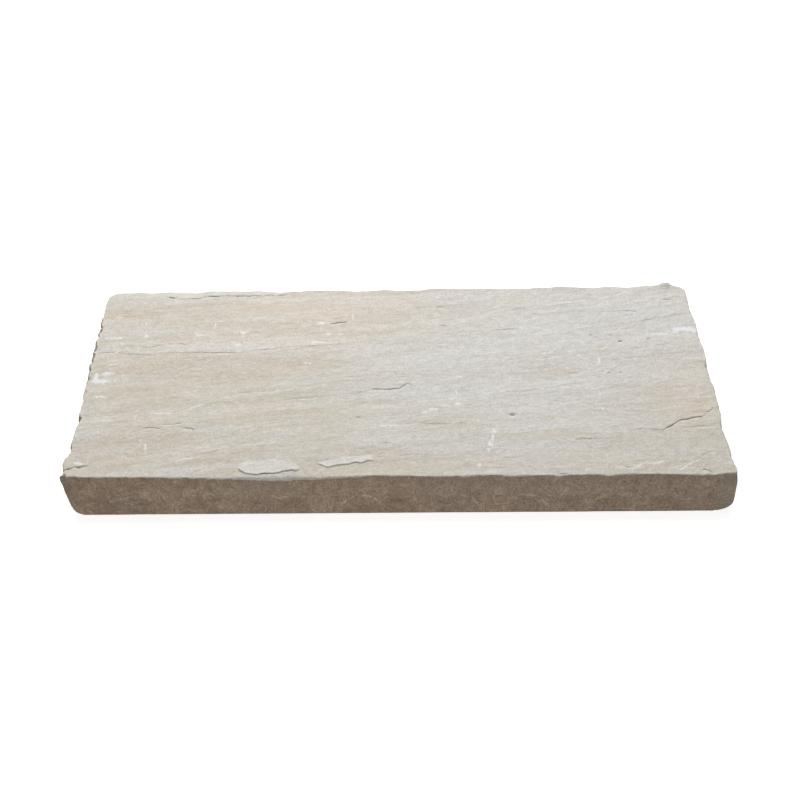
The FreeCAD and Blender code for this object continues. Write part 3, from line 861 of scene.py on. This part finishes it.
# %% Extrude the sides
start_gap = np.sum((rim[:, :2] - packed_side(rim[:, 2])) * outwards, axis=1)
gap_power = 1 + rough_end * np.where(start_gap < 0, -0.5, 4 * ~on_right)
edges = rim_edges
side_faces = []
for depth in depths:
    made = bmesh.ops.extrude_edge_only(bm, edges=edges)["geom"]
    lower = [g for g in made if isinstance(g, bmesh.types.BMVert)]
    edges = [g for g in made if isinstance(g, bmesh.types.BMEdge)]
    side_faces += [g for g in made if isinstance(g, bmesh.types.BMFace)]
    number = np.array([v[post_layer] for v in lower])
    height = rim[:, 2] * (1 - depth)
    out = start_gap * (1 - depth) ** gap_power + side_relief(depth, height)
    spot = packed_side(height) + outwards * out[:, None]
    place_at(lower, spot[number, 0], spot[number, 1], height[number])
    for name in MASKS:
        keep_mask(lower, name, np.zeros(len(lower)))
    keep_mask(lower, "pitched", on_end[number])
    keep_mask(lower, "skin", skin_lap(rim[:, 2] - height)[number])
    keep_bedding(lower)
keep_mask(posts, "pitched", on_end)
print("sides:", len(side_faces), "faces")

# %% [markdown]
# ## The bed and its drip grooves
# The last row of vertices lies in the plane of the bed, so one face closes it. Two bars are then cut out of
# it with a Boolean modifier: the drip grooves, which make rain fall off before it reaches the wall.

# %% Close the bed
WORN, BED = 0, 1
DRIP_WIDTH = 10
DRIP_DEPTH = 6
DRIP_INSET = 25

for f in bm.faces:
    f.smooth = True
    f.material_index = WORN
closed = bmesh.ops.contextual_create(bm, geom=edges)["faces"]
for f in closed:
    f.smooth = False
    f.material_index = BED
bmesh.ops.recalc_face_normals(bm, faces=bm.faces)
bmesh.ops.scale(bm, verts=bm.verts, vec=(MM, MM, MM))


def put(name, data):
    """A new object in the scene."""
    made = bpy.data.objects.new(name, data)
    bpy.context.collection.objects.link(made)
    return made


def put_mesh(name, shape):
    """A new object made of a finished bmesh."""
    data = bpy.data.meshes.new(name)
    shape.to_mesh(data)
    shape.free()
    return put(name, data)


stone = put_mesh("riven_stone", bm)
uncut = stone.data

# %% Cut the drip grooves
bars = bmesh.new()
for face in (-1, 1):
    bar = bmesh.ops.create_cube(bars, size=1)["verts"]
    bmesh.ops.scale(bars, verts=bar, vec=(2 * LENGTH * MM, DRIP_WIDTH * MM, 2 * DRIP_DEPTH * MM))
    bmesh.ops.translate(bars, verts=bar, vec=(0, face * (WIDTH / 2 - DRIP_INSET - DRIP_WIDTH / 2) * MM, 0))
bar_object = put_mesh("saw_bars", bars)
cut = stone.modifiers.new("drip grooves", "BOOLEAN")
cut.operation = "DIFFERENCE"
cut.object = bar_object
cut.solver = "EXACT"
evaluated = stone.evaluated_get(bpy.context.evaluated_depsgraph_get())
cut_mesh = bpy.data.meshes.new_from_object(evaluated)
stone.modifiers.clear()
stone.data = cut_mesh
bpy.data.objects.remove(bar_object)
bpy.data.meshes.remove(uncut)
triangles = sum(len(p.vertices) - 2 for p in cut_mesh.polygons)
print("stone:", len(cut_mesh.vertices), "vertices,", triangles, "triangles")

# %% [markdown]
# ## Finishes
# The helpers keep the node trees short. One adds a node and fills its inputs with values or with the outputs
# of other nodes, the others wrap the nodes that are used most.

# %% Node helpers


def srgb(r, g, b):
    """A colour as a paint chart gives it, turned into the linear light that nodes work with."""
    def linear(c):
        c /= 255
        return c / 12.92 if c <= 0.04045 else ((c + 0.055) / 1.055) ** 2.4
    return (linear(r), linear(g), linear(b), 1)


def add(nodes, kind, inputs, **settings):
    made = nodes.nodes.new("ShaderNode" + kind)
    for name, value in settings.items():
        setattr(made, name, value)
    for name, value in inputs.items():
        if isinstance(value, bpy.types.NodeSocket):
            nodes.links.new(value, made.inputs[name])
        else:
            made.inputs[name].default_value = value
    return made


def blend(nodes, factor, first, second, mode="MIX"):
    made = add(nodes, "Mix", {0: factor, 6: first, 7: second}, data_type="RGBA", blend_type=mode)
    return made.outputs[2]


def sums(nodes, operation, first, second, clamp=False):
    return add(nodes, "Math", {0: first, 1: second}, operation=operation, use_clamp=clamp).outputs[0]


def product(nodes, first, *others):
    for other in others:
        first = sums(nodes, "MULTIPLY", first, other)
    return first


def total(nodes, first, *others):
    for other in others:
        first = sums(nodes, "ADD", first, other)
    return first


def levels(nodes, value, low, high, bottom=0.0, top=1.0):
    """Stretches a range of a value, with both ends held."""
    inputs = {"Value": value, "From Min": low, "From Max": high, "To Min": bottom, "To Max": top}
    return add(nodes, "MapRange", inputs, interpolation_type="SMOOTHSTEP").outputs[0]


def mask(nodes, name):
    return add(nodes, "Attribute", {}, attribute_name=name).outputs["Fac"]


# %% Places and textures


def cloud(nodes, place, detail, rough, twist=0.0):
    inputs = {"Vector": place, "Scale": 1.0, "Detail": detail, "Roughness": rough, "Distortion": twist}
    return add(nodes, "TexNoise", inputs).outputs["Fac"]


def sized(nodes, place, sizes, turn=(0, 0, 0)):
    """A place turned, then measured in sizes of so many millimetres."""
    scale = [size * MM for size in sizes]
    inputs = {"Vector": place, "Rotation": turn, "Scale": scale}
    return add(nodes, "Mapping", inputs, vector_type="TEXTURE").outputs["Vector"]


def object_place(nodes):
    return add(nodes, "TexCoord", {}).outputs["Object"]


def stone_place(nodes, sizes):
    return sized(nodes, object_place(nodes), sizes)


def bedding_place(nodes, sizes):
    return sized(nodes, add(nodes, "Attribute", {}, attribute_name="bedding").outputs["Vector"], sizes)


def curled_place(nodes, span, sway):
    """The place on the stone, pushed about by up to half of sway, so that straight marks come out curved."""
    place = object_place(nodes)
    inputs = {"Vector": sized(nodes, place, (span, span, span)), "Scale": 1.0, "Detail": 1.0}
    swirl = add(nodes, "TexNoise", inputs).outputs["Color"]
    push = add(nodes, "VectorMath", {0: swirl, 1: (0.5, 0.5, 0.5)}, operation="SUBTRACT").outputs[0]
    far = (sway * MM, sway * MM, sway * MM)
    push = add(nodes, "VectorMath", {0: push, 1: far}, operation="MULTIPLY").outputs[0]
    return add(nodes, "VectorMath", {0: place, 1: push}, operation="ADD").outputs[0]


# %% Colours and groups


def shaded(nodes, colour, shade):
    """A colour made lighter or darker by a value about 1."""
    grey = add(nodes, "CombineColor", {0: shade, 1: shade, 2: shade}).outputs[0]
    return blend(nodes, 1.0, colour, grey, "MULTIPLY")


def tinted(nodes, colour, value, low, high, most, tint):
    """A colour that goes so far towards a tint as a value goes from low to high."""
    return blend(nodes, levels(nodes, value, low, high, 0, most), colour, srgb(*tint))


def new_group(name, outputs):
    group = bpy.data.node_groups.new(name, "ShaderNodeTree")
    for label, kind in outputs:
        group.interface.new_socket(label, in_out="OUTPUT", socket_type=kind)
    return group, group.nodes.new("NodeGroupOutput")


# %% [markdown]
# ## Sand
# Sandstone is sand, so every finish shares its grain: specks of light and dark a millimetre or two across,
# and a height for the bump, in millimetres.

# %% Sand group
sand, sand_out = new_group("sand", [("Speckle", "NodeSocketFloat"), ("Height", "NodeSocketFloat")])
coarse_grain = cloud(sand, stone_place(sand, (2.3, 3.5, 2.3)), 2, 0.6)
fine_grain = cloud(sand, stone_place(sand, (1.3, 2.0, 1.3)), 2, 0.6)
speckle = product(sand, total(sand, coarse_grain, fine_grain), 0.5)
grit = cloud(sand, stone_place(sand, (2.6, 3.8, 2.6)), 2, 0.65)
sand.links.new(speckle, sand_out.inputs["Speckle"])
sand.links.new(product(sand, grit, 0.85), sand_out.inputs["Height"])

# %% [markdown]
# ## Weathered skin
# The split face has been out in the weather. It is a pale grey buff with streaks along the bedding, tan at
# the left and greyer at the right of the middle. The masks add painted shade in cracks and under edges, the
# pale plates, pale edges that are partly painted highlight, and the calcite.
# The height is the finest relief of the split, too small for the mesh.

# %% Weathered skin group
skin, skin_out = new_group("weathered_skin", [("Color", "NodeSocketColor"), ("Height", "NodeSocketFloat")])
grain = add(skin, "Group", {}, node_tree=sand).outputs
streak = cloud(skin, bedding_place(skin, (190, 26, 50)), 4, 0.6, 0.6)
band = cloud(skin, bedding_place(skin, (95, 7, 30)), 4, 0.6, 0.5)
blotch = cloud(skin, bedding_place(skin, (11, 8, 9)), 4, 0.66)
chips = cloud(skin, stone_place(skin, (4.5, 6, 4.5)), 5, 0.72, 0.4)
dash = cloud(skin, bedding_place(skin, (7, 2.8, 3)), 3, 0.62, 0.5)
colour = blend(skin, levels(skin, streak, 0.3, 0.7), srgb(205, 197, 183), srgb(212, 208, 201))
for value, low, high, most, tint in (
    (mask(skin, "peach"), 0, 1, 0.75, (216, 205, 192)),
    (mask(skin, "cool"), 0, 1, 0.7, (213, 212, 210)),
    (mask(skin, "tan"), 0, 1, 0.7, (204, 194, 178)),
    (band, 0.5, 0.72, 0.55, (217, 215, 209)),
    (band, 0.5, 0.3, 0.4, (201, 190, 173)),
    (mask(skin, "rust"), 0, 1, 0.6, (210, 184, 152)),
    # The pale mask: paler plates, and edges and lips that are partly worn paler and partly painted highlight.
    (mask(skin, "pale"), 0, 1, 0.6, (222, 219, 212)),
    (mask(skin, "pale"), 0.6, 1.8, 0.9, (232, 231, 228)),
):
    colour = tinted(skin, colour, value, low, high, most, tint)
salt = cloud(skin, stone_place(skin, (2.6, 4.2, 2.6)), 1, 0.5)
shade = product(
    skin,
    levels(skin, blotch, 0.3, 0.7, 0.965, 1.035),
    levels(skin, grain["Speckle"], 0.3, 0.7, 0.91, 1.09),
    levels(skin, dash, 0.3, 0.7, 0.93, 1.07),
    levels(skin, salt, 0.64, 0.74, 1.0, 1.1),
)
colour = shaded(skin, colour, shade)
calcite = mask(skin, "calcite")
patchy = total(skin, calcite, product(skin, sums(skin, "SUBTRACT", chips, 0.5), 3.0))
crust = product(skin, levels(skin, patchy, 0.45, 0.95), levels(skin, calcite, 0.1, 0.3))
crust = product(skin, crust, levels(skin, grain["Speckle"], 0.3, 0.6, 0.65, 0.95))
colour = blend(skin, crust, colour, srgb(234, 236, 237))
# Painted shade: a dark brown laid into cracks, pits and under the edges of plates and ledges, as the crevice
# mask gives.
gritty = levels(skin, grain["Speckle"], 0.25, 0.6, 0.65, 1.0)
painted_shade = sums(skin, "MULTIPLY", mask(skin, "crevice"), gritty, True)
colour = blend(skin, painted_shade, colour, srgb(104, 87, 66))
skin.links.new(colour, skin_out.inputs["Color"])
split = product(skin, cloud(skin, bedding_place(skin, (40, 9, 12)), 3, 0.55, 0.8), 5.0)
riser = levels(skin, sums(skin, "FRACT", split, 0.0), 0.25, 0.75)
steps = total(skin, sums(skin, "FLOOR", split, 0.0), riser)
strong = levels(skin, cloud(skin, bedding_place(skin, (60, 25, 20)), 2, 0.5), 0.4, 0.62, 0.05, 0.26)
ripple = cloud(skin, bedding_place(skin, (13, 6, 8)), 3, 0.62, 0.8)
relief = total(skin, product(skin, steps, strong), product(skin, ripple, 0.85), product(skin, dash, 0.7))
relief = total(skin, relief, grain["Height"])
skin.links.new(relief, skin_out.inputs["Height"])

# %% [markdown]
# ## Fresh stone
# Below the arris the stone is fresher and browner, and darker than the skin: partly its own fresher colour and
# partly painted shade on the sides. It is also painted lighter near the foot and darker just under the arris.
# Tools left a felt of short scratches on it, and a row of faint arcs along the foot of the long sides. A
# Voronoi texture in one dimension sets the arcs along the run of the side: its distance, taken together with
# the height, gives how far a place is from the middle of a stroke. The ends are rougher, and there the edges of
# the layers show as level lines.

# %% Fresh stone group
fresh, fresh_out = new_group("fresh_stone", [("Color", "NodeSocketColor"), ("Height", "NodeSocketFloat")])
grain = add(fresh, "Group", {}, node_tree=sand).outputs
mottle = cloud(fresh, stone_place(fresh, (17, 17, 14)), 5, 0.68)
drift = cloud(fresh, stone_place(fresh, (110, 110, 60)), 2, 0.5)
curled = curled_place(fresh, 22, 34)
rising = cloud(fresh, sized(fresh, curled, (7, 7, 1.3), (0.7, 0.7, 0)), 2, 0.6, 0.8)
falling = cloud(fresh, sized(fresh, curled, (7, 7, 1.3), (-0.9, -0.9, 0)), 2, 0.6, 0.8)
scratches = sums(fresh, "MAXIMUM", rising, falling)
layer_lines = cloud(fresh, stone_place(fresh, (70, 70, 2.4)), 4, 0.6, 0.5)
where = add(fresh, "SeparateXYZ", {0: object_place(fresh)}).outputs
height = where["Z"]
pitched = mask(fresh, "pitched")
sawn = sums(fresh, "SUBTRACT", 1.0, pitched)
run = total(fresh, where["X"], product(fresh, where["Y"], 3.0))
strokes = {"W": sums(fresh, "DIVIDE", run, 46 * MM), "Scale": 1.0, "Randomness": 0.75}
aside = add(fresh, "TexVoronoi", strokes, voronoi_dimensions="1D", feature="F1").outputs["Distance"]
upward = sums(fresh, "DIVIDE", sums(fresh, "SUBTRACT", height, 4 * MM), 40 * MM)
swing = add(fresh, "CombineXYZ", {0: aside, 1: upward}).outputs[0]
reach = add(fresh, "VectorMath", {0: swing}, operation="LENGTH").outputs["Value"]
reach = total(fresh, reach, levels(fresh, mottle, 0.3, 0.7, -0.03, 0.03))
off_ring = sums(fresh, "ABSOLUTE", sums(fresh, "SUBTRACT", reach, 0.44), 0.0)
rings = levels(fresh, off_ring, 0.0, 0.03, 0.45, 0.0)
rings = product(fresh, rings, levels(fresh, mottle, 0.42, 0.6), sawn)
# The fresh colours are darker than the skin's, partly the fresher stone and partly painted shade of the sides.
colour = blend(fresh, levels(fresh, mottle, 0.32, 0.68), srgb(171, 149, 128), srgb(187, 166, 145))
colour = tinted(fresh, colour, drift, 0.35, 0.65, 0.5, (176, 159, 141))
layered = product(fresh, levels(fresh, layer_lines, 0.38, 0.66, 0, 0.75), pitched)
colour = blend(fresh, layered, colour, srgb(152, 130, 106))
upper_end = product(fresh, levels(fresh, height, 0.03, 0.042, 0, 0.5), pitched)
colour = blend(fresh, upper_end, colour, srgb(178, 169, 159))
colour = blend(fresh, rings, colour, srgb(222, 208, 188))
colour = tinted(fresh, colour, where["X"], 0.274, 0.296, 0.6, (176, 163, 148))
tooled = sums(fresh, "SUBTRACT", 1.0, product(fresh, pitched, 0.75))
scratch_light = product(fresh, levels(fresh, scratches, 0.4, 0.74, -0.2, 0.3), tooled)
shade = product(
    fresh,
    total(fresh, scratch_light, 1.0),
    levels(fresh, grain["Speckle"], 0.3, 0.7, 0.76, 1.24),
    # Painted light: lighter near the foot, against the shade from the floor there, and painted shade just under
    # the arris.
    levels(fresh, height, 0.0, 0.018, 1.22, 0.95),
    levels(fresh, height, 0.022, 0.041, 1.0, 0.87),
    levels(fresh, where["X"], -0.288, -0.21, 0.91, 1.0),
    levels(fresh, where["X"], 0.16, 0.25, 1.0, 0.94),
    levels(fresh, reach, 0.3, 0.46, 0.93, 1.025),
)
colour = shaded(fresh, colour, shade)
fresh.links.new(colour, fresh_out.inputs["Color"])
broken = product(fresh, total(fresh, layer_lines, mottle), pitched, 1.5)
relief = total(fresh, product(fresh, scratches, 0.6), grain["Height"], broken)
fresh.links.new(relief, fresh_out.inputs["Height"])

# %% [markdown]
# ## The worn stone
# One material covers the top, the sides and the ends: weathered skin on fresh stone. The mask for the skin
# thins out over the arris, and some noise makes its edge ragged.

# %% Worn stone material


def new_material(name):
    material = bpy.data.materials.new(name)
    material.use_nodes = True
    material.node_tree.nodes.clear()
    return material, material.node_tree


def finish_surface(nodes, colour, roughness, height):
    """The surface shader of every finish: dull stone with a fine bump, its height in millimetres."""
    bump = add(nodes, "Bump", {"Height": height, "Distance": MM, "Strength": 1.0}).outputs["Normal"]
    inputs = {"Base Color": colour, "Roughness": roughness, "Normal": bump, "Specular IOR Level": 0.2}
    surface = add(nodes, "BsdfPrincipled", inputs)
    add(nodes, "OutputMaterial", {"Surface": surface.outputs["BSDF"]})


worn, nodes = new_material("worn_stone")
over = add(nodes, "Group", {}, node_tree=skin).outputs
under = add(nodes, "Group", {}, node_tree=fresh).outputs
grain = add(nodes, "Group", {}, node_tree=sand).outputs
edge_noise = cloud(nodes, stone_place(nodes, (6, 6, 6)), 4, 0.65)
frayed = product(nodes, sums(nodes, "SUBTRACT", edge_noise, 0.5), 1.2)
covered = levels(nodes, total(nodes, mask(nodes, "skin"), frayed), 0.3, 0.7)
colour = blend(nodes, covered, under["Color"], over["Color"])
height = add(nodes, "Mix", {0: covered, 2: under["Height"], 3: over["Height"]}, data_type="FLOAT").outputs[0]
finish_surface(nodes, colour, levels(nodes, grain["Speckle"], 0.3, 0.7, 0.84, 0.98), height)

# %% [markdown]
# ## The bed
# The bed and its grooves are plain sawn stone, cleaner than the sides.

# %% Bed material
bed, nodes = new_material("sawn_bed")
grain = add(nodes, "Group", {}, node_tree=sand).outputs
saw_lines = cloud(nodes, stone_place(nodes, (160, 6, 160)), 3, 0.6)
mottle = cloud(nodes, stone_place(nodes, (25, 25, 25)), 5, 0.6)
colour = blend(nodes, levels(nodes, mottle, 0.3, 0.7), srgb(168, 152, 130), srgb(188, 174, 154))
colour = shaded(nodes, colour, levels(nodes, saw_lines, 0.3, 0.7, 0.92, 1.05))
height = total(nodes, grain["Height"], product(nodes, saw_lines, 0.3))
finish_surface(nodes, colour, levels(nodes, grain["Speckle"], 0.3, 0.7, 0.85, 0.98), height)

for material in (worn, bed):
    cut_mesh.materials.append(material)

# %% [markdown]
# ## On the frame
# The stone is one piece and stands for the whole packed stone.

# %% Put the stone on the frame
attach(stone, "root")
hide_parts("coping_stone")

# %% [markdown]
# ## Floor and light
# The stone lies on a white floor. Most of the floor's white is its own when the camera looks at it, so the
# shadow stays but is weak. One large lamp hangs above and a little behind the stone, so the top is bright,
# its small ledges cast thin shadows forwards and the front is in shade. A weak lamp low in front fills that
# shade, and the sky is dim.

# %% Floor
floor_shape = bmesh.new()
bmesh.ops.create_grid(floor_shape, x_segments=1, y_segments=1, size=4)
bmesh.ops.translate(floor_shape, verts=floor_shape.verts, vec=(0, 0, -0.2 * MM))
floor = put_mesh("floor", floor_shape)
floor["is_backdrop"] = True

white, nodes = new_material("white_floor")
rays = add(nodes, "LightPath", {}).outputs
seen = sums(nodes, "MAXIMUM", rays["Is Glossy Ray"], rays["Is Transmission Ray"])
seen = sums(nodes, "MAXIMUM", rays["Is Camera Ray"], seen)
where = add(nodes, "SeparateXYZ", {0: object_place(nodes)}).outputs
beyond_end = levels(nodes, sums(nodes, "ABSOLUTE", where["X"], 0.0), 0.284, 0.290)
beyond_side = levels(nodes, sums(nodes, "ABSOLUTE", where["Y"], 0.0), 0.140, 0.146)
open_floor = sums(nodes, "MAXIMUM", beyond_end, beyond_side)
glow_strength = product(nodes, seen, open_floor, 0.75)
paint = add(nodes, "BsdfDiffuse", {"Color": (0.7, 0.7, 0.7, 1)})
glow = add(nodes, "Emission", {"Color": (1, 1, 1, 1), "Strength": glow_strength})
both = add(nodes, "AddShader", {0: paint.outputs[0], 1: glow.outputs[0]})
add(nodes, "OutputMaterial", {"Surface": both.outputs[0]})
floor.data.materials.append(white)

# %% Lamp and sky
SKY = 0.36


def soft_lamp(name, place, sizes, watts):
    """A rectangle of light that faces the stone."""
    data = bpy.data.lights.new(name, "AREA")
    data.shape = "RECTANGLE"
    data.size, data.size_y = sizes
    data.energy = watts
    lamp = put(name, data)
    lamp.location = place
    lamp.rotation_euler = (Vector((0, 0, 0.04)) - Vector(place)).to_track_quat("-Z", "Y").to_euler()


soft_lamp("softbox", (-0.1, 0.62, 1.3), (1.5, 0.9), 17.8)
soft_lamp("fill", (0.1, -1.5, 0.25), (1.6, 0.4), 1.4)

world = bpy.data.worlds.new("sky")
world.use_nodes = True
nodes = world.node_tree
nodes.nodes.clear()
rays = add(nodes, "LightPath", {}).outputs
strength = levels(nodes, rays["Is Camera Ray"], 0, 1, SKY, 1.0)
sky = add(nodes, "Background", {"Color": (1, 1, 1, 1), "Strength": strength})
add(nodes, "OutputWorld", {"Surface": sky.outputs[0]})
bpy.context.scene.world = world

# %% [markdown]
# ## The camera
# It looks down at the stone from the front, a little over a metre away. The focal length is in pixels of a
# square picture, which the sensor's width turns into millimetres.

# %% Camera
FOCAL = 1512.8
PICTURE = 798
PITCH = math.radians(37.35)
YAW = math.radians(0.349)
ROLL = math.radians(-0.155)
STAND = (-6.36, -1173.19, 910.03)

camera_data = bpy.data.cameras.new("camera")
camera_data.sensor_width = 36
camera_data.lens = 36 * FOCAL / PICTURE
camera = put("camera", camera_data)
forward = Vector((math.sin(YAW) * math.cos(PITCH), math.cos(YAW) * math.cos(PITCH), -math.sin(PITCH)))
level = Vector((math.cos(YAW), -math.sin(YAW), 0))
upright = level.cross(forward)
rightwards = math.cos(ROLL) * level + math.sin(ROLL) * upright
upwards = math.cos(ROLL) * upright - math.sin(ROLL) * level
turn = Matrix((rightwards, upwards, -forward)).transposed().to_4x4()
camera.matrix_world = Matrix.Translation(Vector(STAND) * MM) @ turn
bpy.context.scene.camera = camera
bpy.context.scene.view_settings.view_transform = "Standard"

# %% [markdown]
# ## Sizes
# The box of the imported stone and the box of the finished one are kept side by side.

# %% Print the boxes
boxes = {"packed": [list(c) for c in packed_box], "seen": [list(c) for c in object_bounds()]}
for name, corners in boxes.items():
    print(name, [[round(c / MM, 1) for c in corner] for corner in corners])
